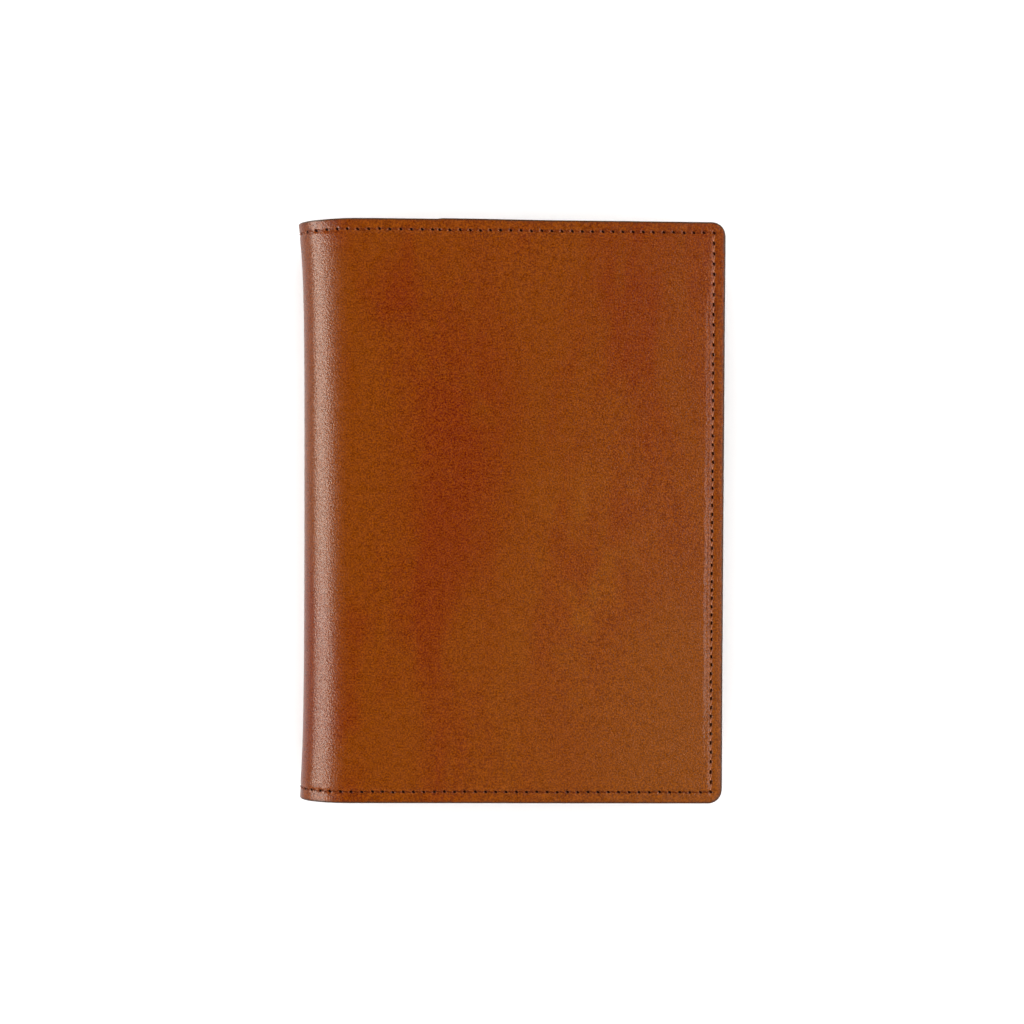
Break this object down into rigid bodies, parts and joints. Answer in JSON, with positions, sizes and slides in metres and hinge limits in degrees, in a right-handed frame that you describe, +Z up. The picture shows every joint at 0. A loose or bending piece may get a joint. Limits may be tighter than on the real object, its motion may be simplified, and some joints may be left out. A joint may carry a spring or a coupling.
{
  "type": "leather notebook cover",
  "caption": "Stitched leather cover closed around a softcover pocket notebook: soft rounded spine, sewn head, tail and fore-edge, sleeve inside each board.",
  "frame": {"origin": "under the middle of the bounding box, on the surface the closed cover lies on", "axes": "+X from the spine to the fore-edge, +Y from tail to head, +Z up through the thickness, front cover on top"},
  "size_m": [0.1184, 0.163, 0.02],
  "materials": {
    "outer_leather": "smooth glazed",
    "lining_leather": "matte suede",
    "pocket_leather": "smooth satin",
    "thread": "waxed",
    "notebook_card": "matte",
    "paper": "matte"
  },
  "bodies": {
    "back_cover": {"outer_back": "outer_leather", "lining_back": "lining_leather", "pocket_back": "pocket_leather", "thread_outside_back": "thread", "thread_inside_back": "thread", "card_back": "notebook_card", "endpaper_back": "paper", "signature_1_back": "paper", "signature_2_back": "paper", "signature_3_back": "paper", "signature_4_back": "paper", "signature_5_back": "paper"},
    "spine_lower": {"outer_spine_lower": "outer_leather", "lining_spine_lower": "lining_leather", "thread_outside_spine_lower": "thread", "thread_inside_spine_lower": "thread", "card_spine_lower": "notebook_card"},
    "spine_upper": {"outer_spine_upper": "outer_leather", "lining_spine_upper": "lining_leather", "thread_outside_spine_upper": "thread", "thread_inside_spine_upper": "thread", "card_spine_upper": "notebook_card"},
    "front_cover": {"outer_front": "outer_leather", "lining_front": "lining_leather", "pocket_front": "pocket_leather", "thread_outside_front": "thread", "thread_inside_front": "thread", "card_front": "notebook_card", "endpaper_front": "paper", "signature_1_front": "paper", "signature_2_front": "paper", "signature_3_front": "paper", "signature_4_front": "paper", "signature_5_front": "paper"}
  },
  "joints": [
    {"name": "back_hinge", "type": "hinge", "parent": "back_cover", "child": "spine_lower", "pos_m": [-0.0549, 0, 0.00254], "axis": [0, -1, 0], "range_deg": [0, 60]},
    {"name": "crown_hinge", "type": "hinge", "parent": "spine_lower", "child": "spine_upper", "pos_m": [-0.0592, 0, 0.01], "axis": [0, -1, 0], "range_deg": [0, 60]},
    {"name": "front_hinge", "type": "hinge", "parent": "spine_upper", "child": "front_cover", "pos_m": [-0.0549, 0, 0.01746], "axis": [0, -1, 0], "range_deg": [0, 60]}
  ],
  "couplings": [
    {"joint": "crown_hinge", "follows": "back_hinge", "ratio": 1},
    {"joint": "front_hinge", "follows": "back_hinge", "ratio": 1}
  ]
}
